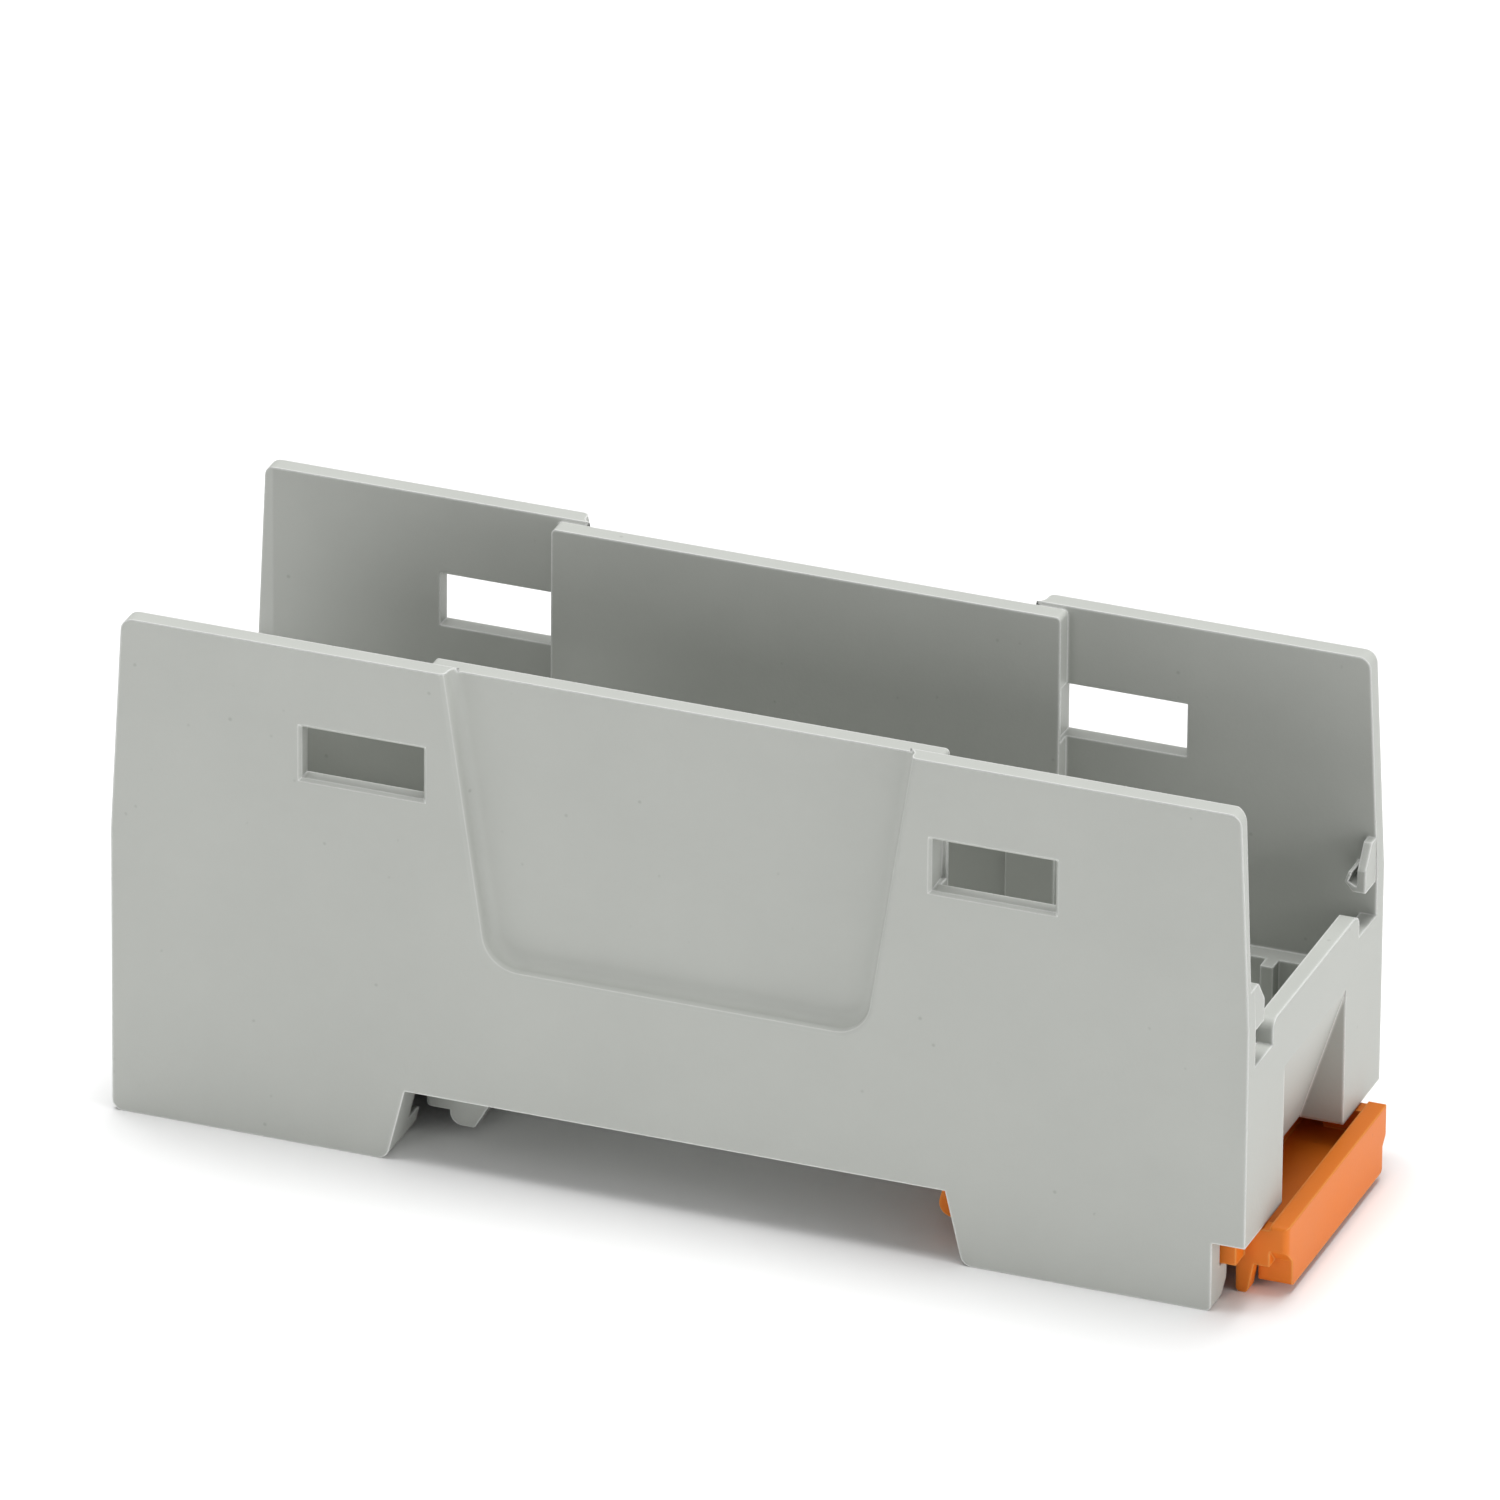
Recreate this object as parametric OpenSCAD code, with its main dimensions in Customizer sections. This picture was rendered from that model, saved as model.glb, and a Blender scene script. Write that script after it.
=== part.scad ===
// Base of a narrow electronics enclosure that clips on a 35 mm DIN rail.
// The origin is the middle of the rail seat. X runs across the rail, from the
// fixed hook at -X to the sliding foot latch at +X, Y runs along the rail, and
// +Z points away from the rail, to the open top of the base.

/* [Base body] */
// Length of the base across the rail
base_l = 75; // [70:0.5:90]
// Width of the base along the rail
base_w = 24.6; // [22.5:0.1:45]
// Height of the side walls above the rail seat
wall_h = 29.25; // [26:0.25:45]
// Thickness of the side walls
wall_t = 1.25; // [1:0.05:1.5]
// Inward lean of each end of a side wall, at its top
edge_lean = 0.75; // [0.2:0.05:1.2]
// Height above the rail seat where that lean begins
lean_z = 14.7; // [14:0.1:18]
// Radius of the upper corners of the side walls
top_r = 0.8; // [0.3:0.1:2]
// Radius of the small rounded edges of both pieces
edge_r = 0.3; // [0.1:0.05:0.35]

/* [Tub] */
// Thickness of the floor
floor_t = 1.5; // [1.2:0.1:2]
// Height of the thick lower part of the side walls
tub_h = 8.1; // [6:0.1:9]
// Distance that this lower part stands in from the side walls
tub_proud = 1.3; // [1:0.05:1.6]
// Height of the end walls above the rail seat
end_h = 13.35; // [12.6:0.05:14]
// Thickness of the end walls
end_t = 1.1; // [1:0.05:1.3]
// Width of the board guides on the tub walls
guide_w = 0.85; // [0.6:0.05:1.2]
// Distance that the board guides stand off the tub walls
guide_proud = 1.1; // [0.8:0.1:1.6]
// Distance from the middle of the base to the outer board guides
guide_x = 31.2; // [29:0.1:33]
// Distance between the two board guides at each corner
guide_pitch = 8; // [4:0.5:10]

/* [Grip recess] */
// Width of the recess at the open top
recess_top_w = 30.6; // [26:0.2:32]
// Width of the recess at its lower end
recess_low_w = 24.8; // [18:0.2:26]
// Height of the lower end of the recess above the rail seat
recess_z = 9.65; // [9:0.05:14]
// Depth of the recess
recess_d = 1.3; // [0.8:0.05:1.6]
// Radius of the two lower corners
recess_r = 2.3; // [1.6:0.1:4]
// Radius of the rounded outer edge
recess_edge_r = 0.35; // [0.15:0.05:0.5]
// Radius of the fillet between the sides and the floor of the recess
recess_fillet = 0.7; // [0.2:0.05:0.8]
// Width of the raised back of the recess inside the base
boss_w = 33.8; // [33.2:0.1:34.6]
// Distance that the raised back stops short of the top of the wall
boss_drop = 0.25; // [0.1:0.05:1]
// Width of the stop pads at the lower ends of that raised back
pad_w = 3.25; // [2:0.05:5]
// Height of the stop pads above the rail seat
pad_h = 14.5; // [10:0.5:17]
// Distance that the stop pads stand proud
pad_proud = 0.5; // [0.3:0.1:1]

/* [Wall slots] */
// Length of each slot
slot_l = 8.1; // [5:0.1:8.6]
// Height of each slot
slot_h = 3.5; // [2:0.1:5]
// Distance from the middle of the base to the near end of a slot
slot_x = 16.7; // [16.4:0.05:22]
// Height of the middle of the slots above the rail seat
slot_z = 22.15; // [18:0.05:25]
// Width of the bevel round the outside of each slot
slot_bevel = 0.2; // [0.1:0.05:0.4]
// Growth of each slot on every side, from the bevel to the inside
slot_draft = 0.12; // [0.05:0.01:0.2]

/* [Rail feet] */
// Width of the gap between the feet at the rail seat
rail_gap = 35.8; // [35.4:0.1:36.4]
// Depth of the feet below the rail seat
foot_h = 4.95; // [4.6:0.05:6]
// Growth of the gap at the lower end of each foot
foot_slant = 1.2; // [0.6:0.1:1.6]
// Thickness of the side walls of the foot with the fixed hook
foot_t = 2.7; // [2:0.1:3.4]
// Width of the ledges below those walls
foot_ledge_w = 1.9; // [1:0.1:2]
// Height of those ledges
foot_ledge_h = 1.65; // [1.2:0.05:1.9]
// Bevel of the lower inner edge of those ledges
foot_bevel = 0.5; // [0.3:0.05:0.9]
// Radius of the inner lower corners of the feet
foot_r = 0.8; // [0.3:0.1:1.2]
// Radius of the outer lower corner of the fixed foot
heel_r = 0.7; // [0.3:0.1:1.5]
// Distance that the latch end of the base stands past its foot
step_l = 2.15; // [1.6:0.05:3]
// Depth of that end below the rail seat
step_z = 0.25; // [0.1:0.05:0.5]

/* [Fixed hook] */
// Width of the hook along the rail
hook_w = 15; // [10:0.5:16]
// Height of the groove for the edge of the rail
hook_gap = 1.35; // [1.2:0.05:1.5]
// Depth of the groove past the upper end of the foot
hook_depth = 1.4; // [1:0.1:2]
// Distance that the hook reaches under the rail, past the upper end of the foot
hook_reach = 3.9; // [3:0.1:4.2]
// Thickness of the arm that carries the hook
hook_t = 1; // [0.8:0.05:1.2]
// Depth of the hook's head below its arm
head_h = 1.95; // [1.4:0.05:2.2]
// Length of the hook's head
head_l = 1.65; // [1.2:0.05:2]
// Length of the slanted tip of the head
head_tip = 1.1; // [0.6:0.05:1.4]
// Radius of the head's lower edge at the back
head_r = 0.8; // [0.4:0.1:1]
// Distance that the hook's neck stands back from the upper end of the foot
neck_back = 0.4; // [0.2:0.1:0.8]

/* [Corner catches] */
// Width of the notch beside each side wall, at the top of an end wall
notch_w = 3.2; // [2.6:0.05:3.5]
// Depth of that notch
notch_h = 1.65; // [1.2:0.05:2.5]
// Radius of the upper corner beside that notch
notch_r = 0.8; // [0.4:0.1:1.2]
// Height of the catch's lower edge above the end wall
catch_z = 0.7; // [0.5:0.05:1.2]
// Height of each catch
catch_h = 3; // [2.4:0.05:3.5]
// Distance that a catch stands off the side wall
catch_proud = 1.85; // [1.4:0.05:2.2]
// Thickness of a catch
catch_t = 0.55; // [0.5:0.05:0.8]
// Distance that the barb of each catch reaches inwards
barb_l = 0.85; // [0.6:0.05:1.2]
// Height of that barb
barb_h = 1.3; // [1:0.05:1.6]
// Thickness of the barb
barb_t = 0.25; // [0.2:0.05:0.4]
// Width of the lead-in for the cover, at the end of each side wall
lead_in = 0.65; // [0.2:0.05:0.9]

/* [Pull recess] */
// Width of the recess in the latch end of the base
pull_w = 11.2; // [8:0.1:13]
// Height of the recess above the underside of that end
pull_h = 9.4; // [6:0.1:10]
// Depth of the recess at its lower end
pull_d = 2.9; // [2:0.1:3.2]

/* [Foot latch] */
// Sliding clearance between the latch and the base
slide_gap = 0.15; // [0.1:0.05:0.3]
// Thickness of the foot walls beside the latch
groove_t = 1.5; // [1.4:0.05:1.7]
// Height of the ledges that the latch slides on
ledge_h = 2.4; // [2:0.05:2.6]
// Distance that the ledges stand in from the foot walls
ledge_w = 1.3; // [1:0.05:1.6]
// Bevel of the lower inner edge of the ledges
ledge_bevel = 1.1; // [0.5:0.1:1.2]
// Height of the groove between the nose and the rail seat
nose_gap = 1.85; // [1.3:0.05:2]
// Distance that the nose reaches past the foot, over the rail
nose_reach = 2; // [1.6:0.1:2.4]
// Height of the nose
nose_h = 1.95; // [1.6:0.05:2.2]
// Length of the nose across the rail
nose_l = 5.2; // [5:0.1:6]
// Distance that the nose's upper edge leans back
nose_lean = 0.5; // [0.2:0.1:0.8]
// Radius of the nose's lower edge, that rides over the rail
nose_r = 0.9; // [0.4:0.1:1.2]
// Width of the nose
nose_w = 17.2; // [14:0.1:18]
// Length of the cross bar behind the nose
bar_l = 2.2; // [1.8:0.1:2.8]
// Thickness of the latch plate
plate_t = 1; // [0.8:0.05:1.2]
// Width of the side rails of the latch
rail_w = 1.6; // [1.4:0.1:2]
// Thickness of the upright side walls of the latch
web_t = 1.15; // [0.9:0.05:1.4]
// Distance that these walls reach below the side rails
web_drop = 0.5; // [0.2:0.1:0.8]
// Width of the spring arms
arm_w = 0.9; // [0.7:0.1:1.2]
// Radius of the spring arms
arm_r = 6.5; // [5:0.1:7]
// Angle that each spring arm turns through
arm_turn = 75; // [50:5:80]
// Distance between the roots of the spring arms
arm_pitch = 4; // [2:0.5:5]
// Length of the pocket for a screwdriver tip
pocket_l = 4.2; // [3:0.1:5]

/* [Latch pull] */
// Gap between the base and the upper edge of the pull
pull_gap = 0.5; // [0.3:0.05:0.8]
// Thickness of the pull at its upper edge
pull_t = 1.2; // [1:0.05:2]
// Thickness of the pull below that
pull_low_t = 2.2; // [1.8:0.05:2.3]
// Width of the upper part of the pull
pull_top_w = 18.3; // [14:0.1:19]
// Width of the lower part of the pull
pull_low_w = 16.5; // [12:0.1:17.5]
// Height of the lower edge of the pull above the bottom of the feet
pull_lift = 0.5; // [0.3:0.05:1]
// Height of the upper edge of the pull above the rail seat
pull_top = -0.1; // [-0.3:0.05:0.6]
// Depth of the upper part of the pull
pull_top_h = 1.7; // [1.2:0.1:2.2]
// Radius of the upright corners of the pull
pull_r = 0.4; // [0.2:0.05:0.6]
// Length of the small stop leg behind the pull
leg_l = 1; // [0.8:0.1:1.4]
// Width of that leg
leg_w = 1.1; // [0.8:0.1:1.4]
// Taper of that leg towards its lower end
leg_taper = 0.25; // [0.1:0.05:0.3]

/* [Hidden] */
$fn = 48;
eps = 0.01;
over = 1;
corner_steps = 6;

half_l = base_l / 2;
half_w = base_w / 2;
wall_y = half_w - wall_t;
tub_y = wall_y - tub_proud;
foot_y = half_w - foot_t;
foot_ledge_y = foot_y - foot_ledge_w;
groove_y = half_w - groove_t;
ledge_y = groove_y - ledge_w;
end_x = half_l - end_t;
foot_x = half_l - step_l;
seat_x = rail_gap / 2;
toe_x = seat_x + foot_slant;

// The corners of an outline, each rounded by its own radius: [x, y, radius].
function rounded(path) = [
    for (i = [0 : len(path) - 1])
        each corner(path[(i + len(path) - 1) % len(path)], path[i], path[(i + 1) % len(path)])
];

// The arc that rounds corner b between its neighbours a and c.
function corner(a, b, c) =
    b[2] <= 0 ? [[b[0], b[1]]] :
    let (u = direction(b, a), v = direction(b, c), half = acos(u * v) / 2,
         centre = [b[0], b[1]] + (u + v) / norm(u + v) * b[2] / sin(half),
         start = [b[0], b[1]] + u * b[2] / tan(half) - centre,
         side = u[0] * v[1] - u[1] * v[0] > 0 ? -1 : 1)
    [for (k = [0 : corner_steps]) centre + turned(start, side * (180 - 2 * half) * k / corner_steps)];

function direction(p, q) = let (d = [q[0] - p[0], q[1] - p[1]]) d / norm(d);
function turned(p, a) = [p[0] * cos(a) - p[1] * sin(a), p[0] * sin(a) + p[1] * cos(a)];

// A shape drawn in X and Z, that fills Y from y0 to y1.
module upright(y0, y1) {
    translate([0, y1, 0]) rotate([90, 0, 0]) linear_extrude(y1 - y0) children();
}

// A shape drawn in Y and Z, that fills X from x0 to x1.
module across(x0, x1) {
    translate([x0, 0, 0]) rotate([90, 0, 90]) linear_extrude(x1 - x0) children();
}

module both_sides() {
    children();
    mirror([0, 1, 0]) children();
}

module both_ends() {
    children();
    mirror([1, 0, 0]) children();
}

// A box from x0 to x1, y0 to y1 and z0 to z1.
module block(x0, x1, y0, y1, z0, z1) {
    translate([x0, y0, z0]) cube([x1 - x0, y1 - y0, z1 - z0]);
}

// Outline of a side wall with its two feet.
module wall_outline() {
    polygon(rounded([
        [-half_l, -foot_h, heel_r], [-toe_x, -foot_h, foot_r], [-seat_x, 0, 0],
        [seat_x, 0, 0], [toe_x, -foot_h, foot_r], [foot_x, -foot_h, edge_r],
        [foot_x, -step_z, 0], [half_l, -step_z, 0], [half_l, lean_z, 0],
        [half_l - edge_lean, wall_h, top_r], [-half_l + edge_lean, wall_h, top_r],
        [-half_l, lean_z, 0]
    ]));
}

// Cutter for the grip recess in the front wall, open at the top: the recess
// itself, and two bevels that round its outer edge.
module recess_cutter() {
    soft = 0.3 * recess_edge_r;
    recess_form() rotate_extrude() recess_profile();
    recess_form() recess_bevel(soft, soft, recess_edge_r, 0);
    recess_form() recess_bevel(0, recess_edge_r, soft, soft);
}

// Spans a round form between the two lower corners of the recess and the open top.
module recess_form() {
    lean = atan((recess_top_w - recess_low_w) / 2 / (wall_h - recess_z));
    low_z = recess_z + recess_r;
    low_x = recess_low_w / 2 - recess_r * (1 - sin(lean)) / cos(lean);
    rise = wall_h + recess_r + over - low_z;
    hull() for (side = [-1, 1], up = [0, rise])
        translate([side * (low_x + up * tan(lean)), -half_w, low_z + up])
            rotate([-90, 0, 0]) children();
}

// Half-section of the recess: its radius, and its depth with the fillet.
module recess_profile() {
    polygon([
        [0, -over], [recess_r, -over],
        for (k = [0 : corner_steps])
            [recess_r - recess_fillet * (1 - cos(90 * k / corner_steps)),
             recess_d - recess_fillet * (1 - sin(90 * k / corner_steps))],
        [0, recess_d]
    ]);
}

// A cone through two points of the rounded edge, each given as its distance
// out from the recess's side and its depth, reaching past both.
module recess_bevel(in_0, deep_0, in_1, deep_1) {
    slope = (in_1 - in_0) / (deep_0 - deep_1);
    translate([0, 0, -over]) cylinder(
        h = deep_0 + over, r1 = recess_r + in_1 + slope * (deep_1 + over), r2 = recess_r + in_0);
}

// Cutter for one slot of the front wall, flared at the outside.
module slot_cutter() {
    translate([slot_x + slot_l / 2, -half_w, slot_z]) intersection() {
        linear_extrude(slot_h + 4 * over, center = true) slot_plan(slot_l / 2);
        rotate([0, 90, 0]) linear_extrude(slot_l + 4 * over, center = true) slot_plan(slot_h / 2);
    }
}

// Half-width of a slot along its depth: the outer bevel, then the draft.
module slot_plan(half) {
    deep = wall_t + over;
    grown = half + slot_draft;
    polygon([
        [-half - slot_bevel - over, -over], [half + slot_bevel + over, -over], [half, slot_bevel],
        [grown, deep], [-grown, deep], [-half, slot_bevel]
    ]);
}

// The front side wall, with its recess, the raised back of it and the slots.
module side_wall() {
    back_x = boss_w / 2;
    difference() {
        union() {
            upright(-half_w, -wall_y) wall_outline();
            upright(-wall_y - eps, -tub_y) polygon(rounded([
                [-back_x, 0, 0], [back_x, 0, 0],
                [back_x, wall_h - boss_drop, edge_r], [-back_x, wall_h - boss_drop, edge_r]
            ]));
        }
        recess_cutter();
        both_ends() slot_cutter();
    }
}

// The thick lower part of the front wall, with its board guides and stop pads.
module tub_wall() {
    block(-end_x - eps, end_x + eps, -wall_y - eps, -tub_y, 0, tub_h);
    both_ends() {
        for (x = [guide_x, guide_x - guide_pitch])
            block(x - guide_w / 2, x + guide_w / 2, -tub_y - eps, -tub_y + guide_proud, 0, tub_h);
        block(boss_w / 2 - pad_w, boss_w / 2, -tub_y - eps, -tub_y + pad_proud, 0, pad_h);
    }
}

// The +X end wall from a lower edge up, notched beside both side walls.
module end_wall(low) {
    side = wall_y + eps;
    notch = wall_y - notch_w;
    notch_z = end_h - notch_h;
    across(end_x, half_l) polygon(rounded([
        [-side, low, 0], [side, low, 0], [side, notch_z, 0], [notch, notch_z, 0],
        [notch, end_h, notch_r], [-notch, end_h, notch_r], [-notch, notch_z, 0], [-side, notch_z, 0]
    ]));
}

// A catch for the cover, on the front wall beside the +X end wall.
module corner_catch() {
    low = end_h + catch_z;
    high = low + catch_h;
    tip = -wall_y + catch_proud;
    out_x = half_l - edge_lean * (high - lean_z) / (wall_h - lean_z);
    in_x = out_x - catch_t;
    across(in_x, out_x) polygon([
        [-wall_y - eps, low], [tip, low], [tip, low + catch_h / 2],
        [-wall_y + catch_proud * 0.4, high], [-wall_y - eps, high]
    ]);
    upright(-wall_y - eps, tip) polygon([
        [in_x + eps, low], [in_x - barb_l / 3, low], [in_x - barb_l, low + barb_h / 2],
        [in_x - barb_l * 0.7, low + barb_h], [in_x - barb_l * 0.7 + barb_t, low + barb_h],
        [in_x - barb_l + barb_t, low + barb_h / 2], [in_x + eps, low + barb_h / 4]
    ]);
}

// Cutter for the lead-in at the +X end of the front wall, above the catch.
module lead_cutter() {
    deep = edge_lean + lead_in + over;
    translate([half_l + over, -wall_y, end_h + catch_z + catch_h]) linear_extrude(wall_h)
        polygon([[-deep, eps], [0, eps], [0, -deep / 2]]);
}

// Section of the pull recess, from the face of the +X end inwards.
module pull_section(shift, reach) {
    polygon([
        [half_l + reach, -step_z - reach], [half_l + reach, -step_z + pull_h + shift],
        [half_l - shift, -step_z + pull_h + shift], [half_l - pull_d - shift, -step_z],
        [half_l - pull_d - shift, -step_z - reach]
    ]);
}

// Section of the front wall of a foot with a ledge at its lower end.
module ledge_section(inner_y, ledge_y, ledge_h, bevel) {
    top_z = -foot_h + ledge_h;
    polygon(rounded([
        [-half_w, -foot_h, 0], [-ledge_y - bevel, -foot_h, 2 * edge_r], [-ledge_y, -foot_h + bevel, 2 * edge_r],
        [-ledge_y, top_z, edge_r], [-inner_y, top_z, 0], [-inner_y, eps, 0], [-half_w, eps, 0]
    ]));
}

// The foot with the fixed hook: an end wall and two ledged side walls.
module fixed_foot() {
    across(-half_l, -half_l + end_t)
        polygon([[-wall_y - eps, eps], [-wall_y - eps, -foot_h], [wall_y + eps, -foot_h], [wall_y + eps, eps]]);
    both_sides() across(-half_l, -seat_x) ledge_section(foot_y, foot_ledge_y, foot_ledge_h, foot_bevel);
}

// The fixed hook that reaches under the edge of the rail.
module fixed_hook() {
    groove_x = -seat_x - hook_depth;
    tip_x = -seat_x + hook_reach;
    low_z = -hook_gap - hook_t;
    head_x = tip_x - head_tip;
    neck_x = -seat_x - neck_back;
    upright(-hook_w / 2, hook_w / 2) polygon(rounded([
        [groove_x - end_t, eps, 0], [groove_x - end_t, low_z, edge_r], [neck_x, low_z, 0],
        [neck_x, low_z - head_h / 2, edge_r], [head_x - head_l, low_z - head_h / 2, 0],
        [head_x - head_l, low_z - head_h, head_r], [head_x, low_z - head_h, edge_r],
        [tip_x, low_z, edge_r], [tip_x, -hook_gap, edge_r], [groove_x, -hook_gap, edge_r],
        [groove_x, eps, 0]
    ]));
}

// The foot that the latch slides in.
module latch_foot() {
    both_sides() across(seat_x, foot_x) ledge_section(groove_y, ledge_y, ledge_h, ledge_bevel);
}

// The moulded base: side walls, tub, end walls and both feet.
module housing_base() {
    color("#b7b9b4") difference() {
        union() {
            both_sides() {
                side_wall();
                tub_wall();
                both_ends() corner_catch();
            }
            block(-end_x - eps, end_x + eps, -wall_y - eps, wall_y + eps, 0, floor_t);
            end_wall(-step_z);
            mirror([1, 0, 0]) end_wall(0);
            intersection() {
                upright(-pull_w / 2 - end_t, pull_w / 2 + end_t) pull_section(end_t, 0);
                block(0, half_l, -half_w, half_w, -step_z, end_h);
            }
            intersection() {
                union() {
                    fixed_foot();
                    latch_foot();
                }
                upright(-half_w, half_w) wall_outline();
            }
            fixed_hook();
        }
        upright(-pull_w / 2, pull_w / 2) pull_section(0, over);
        lead_cutter();
        rotate([0, 0, 180]) lead_cutter();
    }
}

// The pull at the outer end of the latch, wide and thin above, narrow and thick below.
module latch_pull(x0, x1) {
    half_top = pull_top_w / 2;
    half_low = pull_low_w / 2;
    step = half_top - half_low;
    low_z = -foot_h + pull_lift;
    shelf_z = pull_top - pull_top_h;
    intersection() {
        union() {
            across(x0, x1) polygon(rounded([
                [-half_low, shelf_z - step, 0], [half_low, shelf_z - step, 0],
                [half_top, shelf_z, 0], [half_top, pull_top, edge_r], [-half_top, pull_top, edge_r],
                [-half_top, shelf_z, 0]
            ]));
            across(x1 - pull_low_t, x1) polygon(rounded([
                [-half_low, low_z, edge_r], [half_low, low_z, edge_r],
                [half_low, shelf_z - step + eps, 0], [-half_low, shelf_z - step + eps, 0]
            ]));
        }
        translate([0, 0, -foot_h]) linear_extrude(2 * foot_h) polygon(rounded([
            [foot_x, -half_top, 0], [x1, -half_top, pull_r], [x1, half_top, pull_r],
            [foot_x, half_top, 0]
        ]));
    }
}

// A curved spring arm that starts at x and y and bends away from the middle.
module spring_arm(x, y, z) {
    translate([x, y - arm_r, z]) rotate([0, 0, 90 - arm_turn]) rotate_extrude(angle = arm_turn)
        translate([arm_r - arm_w / 2, 0]) square([arm_w, plate_t]);
}

// The sliding latch: nose, side rails, spring arms, pocket and pull.
module foot_latch() {
    low_z = -foot_h + ledge_h + slide_gap;
    high_z = -step_z - slide_gap;
    side_y = groove_y - slide_gap;
    nose_x = seat_x - nose_reach;
    nose_back = nose_x + nose_l;
    bar_x = nose_back - bar_l;
    nose_z = -nose_gap - nose_h;
    rail_end = foot_x + leg_l;
    pull_x = half_l + pull_gap;
    web_y = pull_top_w / 2;
    pocket_x = pull_x - pocket_l;
    leg_x = foot_x + pull_gap;
    web_z = low_z - web_drop;
    color("#eb7a2a") {
        // nose and the cross bar behind it
        upright(-nose_w / 2, nose_w / 2) polygon(rounded([
            [nose_x, nose_z, nose_r], [nose_back, nose_z, edge_r], [nose_back, -nose_gap, 0],
            [nose_x + nose_lean, -nose_gap, edge_r]
        ]));
        block(bar_x, nose_back, -side_y, side_y, low_z, low_z + plate_t);
        both_sides() {
            // side rail in the groove of the foot, and the side wall inside it
            block(bar_x, rail_end, -side_y, -side_y + rail_w, low_z, high_z);
            block(foot_x, pull_x + eps, -web_y, -web_y + web_t, web_z, high_z);
            spring_arm(nose_back - plate_t / 2, -arm_pitch / 2, low_z);
            // stop leg
            upright(-web_y, -web_y + leg_w) polygon(rounded([
                [leg_x, -foot_h, edge_r], [leg_x + leg_l - leg_taper, -foot_h, edge_r],
                [leg_x + leg_l + leg_taper, low_z, 0], [leg_x, low_z, 0]
            ]));
        }
        // pocket for the tip of a screwdriver, open at the top
        block(pocket_x - end_t, pull_x + eps, -web_y, web_y, web_z, web_z + plate_t);
        block(pocket_x - end_t, pocket_x, -side_y + rail_w - eps, side_y - rail_w + eps, web_z, high_z);
        latch_pull(pull_x, pull_x + pull_t);
    }
}

housing_base();
foot_latch();
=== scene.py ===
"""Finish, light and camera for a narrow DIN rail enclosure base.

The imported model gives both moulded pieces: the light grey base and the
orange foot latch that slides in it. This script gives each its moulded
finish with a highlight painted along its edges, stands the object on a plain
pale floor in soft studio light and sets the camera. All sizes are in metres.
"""

from __future__ import annotations

import logging
import math
from dataclasses import dataclass, field
from enum import Enum

import bpy
from mathutils import Matrix, Vector


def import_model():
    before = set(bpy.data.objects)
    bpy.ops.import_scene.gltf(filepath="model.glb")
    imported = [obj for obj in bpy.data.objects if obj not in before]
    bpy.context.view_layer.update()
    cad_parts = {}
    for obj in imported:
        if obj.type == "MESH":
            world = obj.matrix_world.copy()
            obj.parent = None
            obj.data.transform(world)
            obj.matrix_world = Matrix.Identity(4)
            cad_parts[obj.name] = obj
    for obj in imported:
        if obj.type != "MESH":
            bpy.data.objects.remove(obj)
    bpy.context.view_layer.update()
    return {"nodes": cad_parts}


MM = 0.001
Colour = tuple[float, float, float]
log = logging.getLogger("enclosure_base")


class MouldedPiece(Enum):
    """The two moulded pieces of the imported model."""

    BASE = "housing_base"
    LATCH = "foot_latch"


@dataclass(frozen=True)
class MouldedFinish:
    """A matte moulded plastic, with the fine grain of its mould and a highlight painted along
    its edges.

    Attributes:
        name: Name of the material.
        colour: Linear colour of the plastic.
        pale: Linear colour of the highlight painted on its edges.
        speck: Linear colour of the few fine specks in it.
        roughness: Mean roughness of the surface.
        specular: Level of the plain gloss.
        edge: Radius over which an edge is rounded, in metres.
        painted_highlight_share: Share of the painted highlight colour on an edge.
        grain_depth: Depth of the mould's grain, in metres.
        speck_share: Share of the speck colour where a speck is.
        duller: Most that the mottle adds to the roughness.
        glossier: Most that the mottle takes from the roughness.
        darker: Factor on the colour where the mottle is darkest.
        lighter: Factor on the colour where the mottle is lightest.
    """

    name: str
    colour: Colour
    pale: Colour
    speck: Colour
    roughness: float
    specular: float
    edge: float
    painted_highlight_share: float
    grain_depth: float
    speck_share: float
    duller: float = 0.08
    glossier: float = 0.06
    darker: float = 0.95
    lighter: float = 1.04


GREY_POLYMER = MouldedFinish(
    name="grey_moulded_polymer",
    colour=(0.455, 0.468, 0.440),
    # pale is the colour of the painted edge highlight.
    pale=(0.93, 0.94, 0.92),
    speck=(0.20, 0.20, 0.18),
    roughness=0.52,
    specular=0.36,
    edge=0.3 * MM,
    painted_highlight_share=0.85,
    grain_depth=0.012 * MM,
    speck_share=0.3,
)

ORANGE_POLYMER = MouldedFinish(
    name="orange_moulded_polymer",
    colour=(0.72, 0.178, 0.012),
    # pale is the colour of the painted edge highlight.
    pale=(0.98, 0.42, 0.10),
    speck=(0.38, 0.06, 0.01),
    roughness=0.45,
    specular=0.3,
    edge=0.25 * MM,
    painted_highlight_share=0.7,
    grain_depth=0.010 * MM,
    speck_share=0.25,
)


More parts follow.
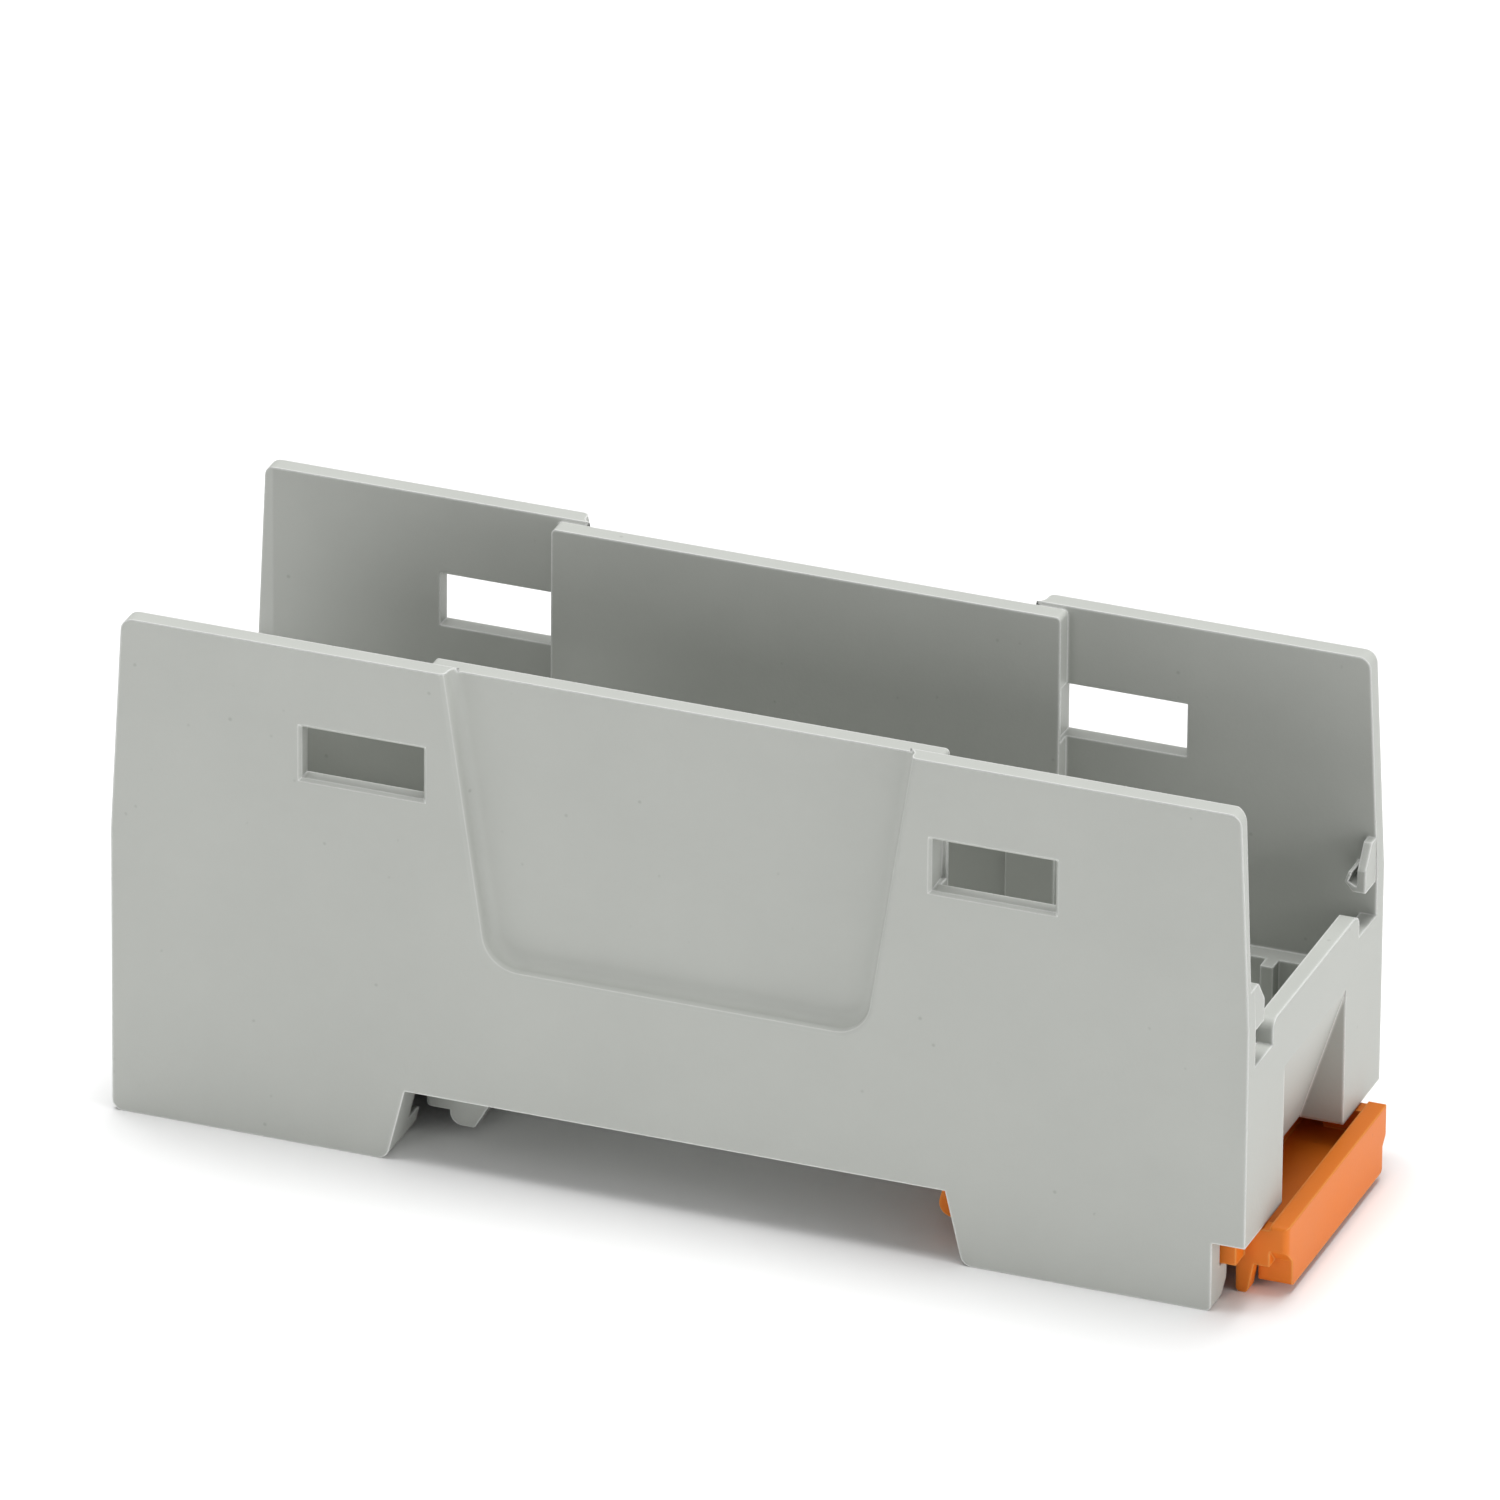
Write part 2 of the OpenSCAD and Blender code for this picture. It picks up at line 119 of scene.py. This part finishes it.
class GrainGroup:
    """Node group that turns a place on the plastic into grain, specks and mottle.

    The scales count waves or cells per metre.
    """

    NAME = "mould_grain"
    GRAIN_SCALE = 3600.0
    MOTTLE_SCALE = 140.0
    SPECK_SCALE = 620.0
    SPECK_SIZE = (0.035, 0.11)
    CHOICE_SCALE = 900.0
    CHOICE_STEP = (0.56, 0.64)

    def build(self) -> bpy.types.NodeTree:
        """Build the group once.

        Returns:
            The node group, with a Place input and Grain, Specks and Mottle outputs.
        """
        group = bpy.data.node_groups.new(self.NAME, "ShaderNodeTree")
        group.interface.new_socket("Place", in_out="INPUT", socket_type="NodeSocketVector")
        for name in ("Grain", "Specks", "Mottle"):
            group.interface.new_socket(name, in_out="OUTPUT", socket_type="NodeSocketFloat")
        nodes, links = group.nodes, group.links
        source = nodes.new("NodeGroupInput")
        sink = nodes.new("NodeGroupOutput")

        grain = self._noise(nodes, scale=self.GRAIN_SCALE, detail=3.0, roughness=0.6)
        links.new(source.outputs["Place"], grain.inputs["Vector"])
        links.new(grain.outputs["Fac"], sink.inputs["Grain"])

        dots = nodes.new("ShaderNodeTexVoronoi")
        dots.feature = "F1"
        dots.inputs["Scale"].default_value = self.SPECK_SCALE
        links.new(source.outputs["Place"], dots.inputs["Vector"])
        near = self._step(nodes, self.SPECK_SIZE, falling=True)
        links.new(dots.outputs["Distance"], near.inputs["Value"])
        sparse = self._noise(nodes, scale=self.CHOICE_SCALE, detail=0.0, roughness=0.5)
        links.new(source.outputs["Place"], sparse.inputs["Vector"])
        chosen = self._step(nodes, self.CHOICE_STEP, falling=False)
        links.new(sparse.outputs["Fac"], chosen.inputs["Value"])
        both = nodes.new("ShaderNodeMath")
        both.operation = "MULTIPLY"
        links.new(near.outputs["Result"], both.inputs[0])
        links.new(chosen.outputs["Result"], both.inputs[1])
        links.new(both.outputs["Value"], sink.inputs["Specks"])

        mottle = self._noise(nodes, scale=self.MOTTLE_SCALE, detail=4.0, roughness=0.55)
        links.new(source.outputs["Place"], mottle.inputs["Vector"])
        links.new(mottle.outputs["Fac"], sink.inputs["Mottle"])
        return group

    @staticmethod
    def _noise(nodes: bpy.types.Nodes, scale: float, detail: float,
               roughness: float) -> bpy.types.Node:
        """Add a noise texture.

        Args:
            nodes: Where to add it.
            scale: Waves per metre.
            detail: Octaves.
            roughness: Share kept by each next octave.

        Returns:
            The noise node.
        """
        noise = nodes.new("ShaderNodeTexNoise")
        noise.inputs["Scale"].default_value = scale
        noise.inputs["Detail"].default_value = detail
        noise.inputs["Roughness"].default_value = roughness
        return noise

    @staticmethod
    def _step(nodes: bpy.types.Nodes, span: tuple[float, float],
              falling: bool) -> bpy.types.Node:
        """Add a smooth step.

        Args:
            nodes: Where to add it.
            span: Where the step begins and ends.
            falling: True for a step from 1 down to 0.

        Returns:
            The map range node.
        """
        step = nodes.new("ShaderNodeMapRange")
        step.interpolation_type = "SMOOTHSTEP"
        step.inputs["From Min"].default_value = span[0]
        step.inputs["From Max"].default_value = span[1]
        step.inputs["To Min"].default_value = 1.0 if falling else 0.0
        step.inputs["To Max"].default_value = 0.0 if falling else 1.0
        return step


class EdgeGroup:
    """Node group that marks how far a rounded edge turns away from its face.

    The mark places the painted edge highlight. It begins and is full at these
    cosines of the angle between the two.
    """

    NAME = "edge_turn"
    BEGINS = 0.995
    FULL = 0.80

    def build(self) -> bpy.types.NodeTree:
        """Build the group once.

        Returns:
            The node group, from a Rounded normal to a Turn of 0 to 1.
        """
        group = bpy.data.node_groups.new(self.NAME, "ShaderNodeTree")
        group.interface.new_socket("Rounded", in_out="INPUT", socket_type="NodeSocketVector")
        group.interface.new_socket("Turn", in_out="OUTPUT", socket_type="NodeSocketFloat")
        nodes, links = group.nodes, group.links
        source = nodes.new("NodeGroupInput")
        sink = nodes.new("NodeGroupOutput")
        face = nodes.new("ShaderNodeNewGeometry")
        along = nodes.new("ShaderNodeVectorMath")
        along.operation = "DOT_PRODUCT"
        links.new(source.outputs["Rounded"], along.inputs[0])
        links.new(face.outputs["Normal"], along.inputs[1])
        turn = nodes.new("ShaderNodeMapRange")
        turn.interpolation_type = "SMOOTHSTEP"
        turn.inputs["From Min"].default_value = self.BEGINS
        turn.inputs["From Max"].default_value = self.FULL
        links.new(along.outputs["Value"], turn.inputs["Value"])
        links.new(turn.outputs["Result"], sink.inputs["Turn"])
        return group


@dataclass
class FinishShop:
    """Makes the moulded materials from their finishes.

    The first constants are the places of a Mix node's colour sockets.

    Attributes:
        grain: The shared node group for grain, specks and mottle.
        edges: The shared node group that marks rounded edges for the painted highlight.
    """

    FIRST_COLOUR = 6
    SECOND_COLOUR = 7
    MIXED_COLOUR = 2
    EDGE_SAMPLES = 8

    grain: bpy.types.NodeTree = field(default_factory=lambda: GrainGroup().build())
    edges: bpy.types.NodeTree = field(default_factory=lambda: EdgeGroup().build())

    def material(self, finish: MouldedFinish) -> bpy.types.Material:
        """Make one moulded material.

        Args:
            finish: Its colours, gloss, edge and grain.

        Returns:
            The material.
        """
        material = bpy.data.materials.new(finish.name)
        material.use_nodes = True
        nodes, links = material.node_tree.nodes, material.node_tree.links
        shader = nodes["Principled BSDF"]
        shader.inputs["Specular IOR Level"].default_value = finish.specular

        place = nodes.new("ShaderNodeTexCoord")
        grain = nodes.new("ShaderNodeGroup")
        grain.node_tree = self.grain
        links.new(place.outputs["Object"], grain.inputs["Place"])

        rounded = nodes.new("ShaderNodeBevel")
        rounded.samples = self.EDGE_SAMPLES
        rounded.inputs["Radius"].default_value = finish.edge
        edge = nodes.new("ShaderNodeGroup")
        edge.node_tree = self.edges
        links.new(rounded.outputs["Normal"], edge.inputs["Rounded"])

        bump = nodes.new("ShaderNodeBump")
        bump.inputs["Strength"].default_value = 1.0
        bump.inputs["Distance"].default_value = finish.grain_depth
        links.new(grain.outputs["Grain"], bump.inputs["Height"])
        links.new(rounded.outputs["Normal"], bump.inputs["Normal"])
        links.new(bump.outputs["Normal"], shader.inputs["Normal"])

        colour = self._body_colour(material, finish, grain, edge)
        links.new(colour, shader.inputs["Base Color"])
        gloss = nodes.new("ShaderNodeMapRange")
        gloss.inputs["To Min"].default_value = finish.roughness - finish.glossier
        gloss.inputs["To Max"].default_value = finish.roughness + finish.duller
        links.new(grain.outputs["Mottle"], gloss.inputs["Value"])
        links.new(gloss.outputs["Result"], shader.inputs["Roughness"])
        return material

    def _body_colour(self, material: bpy.types.Material, finish: MouldedFinish,
                     grain: bpy.types.Node, edge: bpy.types.Node) -> bpy.types.NodeSocket:
        """Join the plastic's colour, its mottle, its specks and the highlight painted on its
        edges.

        Args:
            material: The material that is being made.
            finish: Its colours.
            grain: The grain group's node.
            edge: The edge group's node.

        Returns:
            The socket that carries the joined colour.
        """
        links = material.node_tree.links
        darker = tuple(finish.darker * c for c in finish.colour)
        lighter = tuple(min(1.0, finish.lighter * c) for c in finish.colour)
        cloudy = self._mix(material, darker, lighter)
        links.new(grain.outputs["Mottle"], cloudy.inputs["Factor"])

        specked = self._mix(material, finish.colour, finish.speck)
        links.new(self._scaled(material, grain.outputs["Specks"], finish.speck_share),
                  specked.inputs["Factor"])
        links.new(cloudy.outputs[self.MIXED_COLOUR], specked.inputs[self.FIRST_COLOUR])

        # Painted highlight: the edge mask mixes the pale colour over rounded edges.
        lit = self._mix(material, finish.colour, finish.pale)
        links.new(self._scaled(material, edge.outputs["Turn"], finish.painted_highlight_share),
                  lit.inputs["Factor"])
        links.new(specked.outputs[self.MIXED_COLOUR], lit.inputs[self.FIRST_COLOUR])
        return lit.outputs[self.MIXED_COLOUR]

    @classmethod
    def _mix(cls, material: bpy.types.Material, first: Colour, second: Colour) -> bpy.types.Node:
        """Add a colour mix.

        Args:
            material: The material that is being made.
            first: Colour at factor 0.
            second: Colour at factor 1.

        Returns:
            The mix node.
        """
        mix = material.node_tree.nodes.new("ShaderNodeMix")
        mix.data_type = "RGBA"
        mix.inputs[cls.FIRST_COLOUR].default_value = (*first, 1.0)
        mix.inputs[cls.SECOND_COLOUR].default_value = (*second, 1.0)
        return mix

    @staticmethod
    def _scaled(material: bpy.types.Material, value: bpy.types.NodeSocket,
                share: float) -> bpy.types.NodeSocket:
        """Multiply a varying value by a fixed share.

        Args:
            material: The material that is being made.
            value: The socket to scale.
            share: What to scale it by.

        Returns:
            The socket with the scaled value.
        """
        scale = material.node_tree.nodes.new("ShaderNodeMath")
        scale.operation = "MULTIPLY"
        scale.inputs[1].default_value = share
        material.node_tree.links.new(value, scale.inputs[0])
        return scale.outputs["Value"]


@dataclass
class EnclosureBase:
    """The moulded base and its sliding foot latch.

    Attributes:
        nodes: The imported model's objects by name.
        finishes: The finish of each moulded piece.
    """

    nodes: dict[str, bpy.types.Object]
    finishes: dict[MouldedPiece, MouldedFinish] = field(default_factory=lambda: {
        MouldedPiece.BASE: GREY_POLYMER,
        MouldedPiece.LATCH: ORANGE_POLYMER,
    })

    def dress(self, shop: FinishShop) -> None:
        """Give each moulded piece its finish.

        Args:
            shop: Makes the materials.
        """
        for piece, finish in self.finishes.items():
            material = shop.material(finish)
            item = self.nodes[piece.value]
            for slot in item.material_slots:
                slot.material = material
            log.info("%s dressed in %s", piece.value, finish.name)


@dataclass(frozen=True)
class Softbox:
    """One square lamp that points at the object.

    Attributes:
        name: Name of the lamp.
        place: Where it hangs.
        side: Side of its square.
        watts: Power.
        aim: The point that it faces.
    """

    name: str
    place: tuple[float, float, float]
    side: float
    watts: float
    aim: tuple[float, float, float] = (0.0, 0.0, 10.0 * MM)

    def hang(self) -> None:
        """Add the lamp to the scene."""
        bpy.ops.object.light_add(type="AREA", location=self.place)
        lamp = bpy.context.object
        lamp.name = self.name
        lamp.data.shape = "SQUARE"
        lamp.data.size = self.side
        lamp.data.energy = self.watts
        aim = Vector(self.aim) - Vector(self.place)
        lamp.rotation_euler = aim.to_track_quat("-Z", "Y").to_euler()


@dataclass
class Studio:
    """The pale floor and the soft lights.

    Attributes:
        floor_z: Height of the floor, just under the feet.
        floor_side: Side of the floor.
        floor_white: How much light the floor gives back.
        sky: Strength of the even light from all round.
        lamps: The softboxes.
    """

    floor_z: float = -4.96 * MM
    floor_side: float = 8.0
    floor_white: float = 0.93
    sky: float = 0.34
    lamps: tuple[Softbox, ...] = (
        Softbox("overhead", (-0.05, 0.10, 1.10), 0.65, 12.6),
        Softbox("front", (-0.40, -1.28, 0.22), 0.5, 3.2),
        Softbox("side", (1.28, -0.10, 0.25), 0.5, 6.2),
    )

    def build(self) -> None:
        """Make the floor, the even light and the lamps."""
        self._floor()
        self._sky()
        for lamp in self.lamps:
            lamp.hang()

    def _floor(self) -> None:
        """Lay the floor and give it a matte, near-white finish."""
        bpy.ops.mesh.primitive_plane_add(size=self.floor_side, location=(0.0, 0.0, self.floor_z))
        floor = bpy.context.object
        floor.name = "studio_floor"
        bpy.ops.object.transform_apply(location=True)
        material = bpy.data.materials.new("matte_white_paper")
        material.use_nodes = True
        shader = material.node_tree.nodes["Principled BSDF"]
        shader.inputs["Base Color"].default_value = (*[self.floor_white] * 3, 1.0)
        shader.inputs["Roughness"].default_value = 0.9
        shader.inputs["Specular IOR Level"].default_value = 0.1
        floor.data.materials.append(material)

    def _sky(self) -> None:
        """Surround the scene with even white light."""
        world = bpy.data.worlds.new("soft_studio")
        world.use_nodes = True
        backdrop = world.node_tree.nodes["Background"]
        backdrop.inputs["Color"].default_value = (1.0, 1.0, 1.0, 1.0)
        backdrop.inputs["Strength"].default_value = self.sky
        bpy.context.scene.world = world


@dataclass(frozen=True)
class Viewpoint:
    """The camera's place, turn and lens.

    Attributes:
        aim: The point in the middle of the frame.
        distance: How far the camera stands from it.
        azimuth: Turn round the object, in degrees from straight in front.
        elevation: Height above the floor's plane, in degrees.
        roll: Turn about the line of sight, in degrees.
        lens: Focal length in millimetres.
        sensor: Width of the sensor in millimetres.
        clip: Nearest and farthest distance that the camera sees.
    """

    aim: tuple[float, float, float] = (-1.03 * MM, 3.12 * MM, 19.66 * MM)
    distance: float = 1399.7 * MM
    azimuth: float = 20.784
    elevation: float = 26.405
    roll: float = 0.497
    lens: float = 542.3
    sensor: float = 36.0
    clip: tuple[float, float] = (0.05, 20.0)

    def place_camera(self) -> None:
        """Create the camera and make it the scene's own."""
        turn, rise, roll = (math.radians(a) for a in (self.azimuth, self.elevation, self.roll))
        right = Vector((math.cos(turn), math.sin(turn), 0.0))
        back = Vector((math.sin(turn) * math.cos(rise), -math.cos(turn) * math.cos(rise),
                       math.sin(rise)))
        up = back.cross(right)
        across = math.cos(roll) * right + math.sin(roll) * up
        upward = math.cos(roll) * up - math.sin(roll) * right
        spot = Vector(self.aim) + self.distance * back
        bpy.ops.object.camera_add()
        camera = bpy.context.object
        camera.name = "studio_camera"
        camera.matrix_world = Matrix((
            (across.x, upward.x, back.x, spot.x),
            (across.y, upward.y, back.y, spot.y),
            (across.z, upward.z, back.z, spot.z),
            (0.0, 0.0, 0.0, 1.0),
        ))
        camera.data.lens = self.lens
        camera.data.sensor_width = self.sensor
        camera.data.clip_start, camera.data.clip_end = self.clip
        bpy.context.scene.camera = camera


def main() -> None:
    """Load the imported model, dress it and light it."""
    logging.basicConfig(level=logging.INFO, format="%(name)s: %(message)s")
    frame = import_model()
    bpy.ops.object.select_all(action="DESELECT")

    Viewpoint().place_camera()
    log.info("camera placed")
    Studio().build()
    log.info("floor and lights placed")
    EnclosureBase(nodes=frame["nodes"]).dress(FinishShop())

    bpy.context.scene.view_settings.view_transform = "Standard"
    log.info("sizes written")


if __name__ == "__main__":
    main()
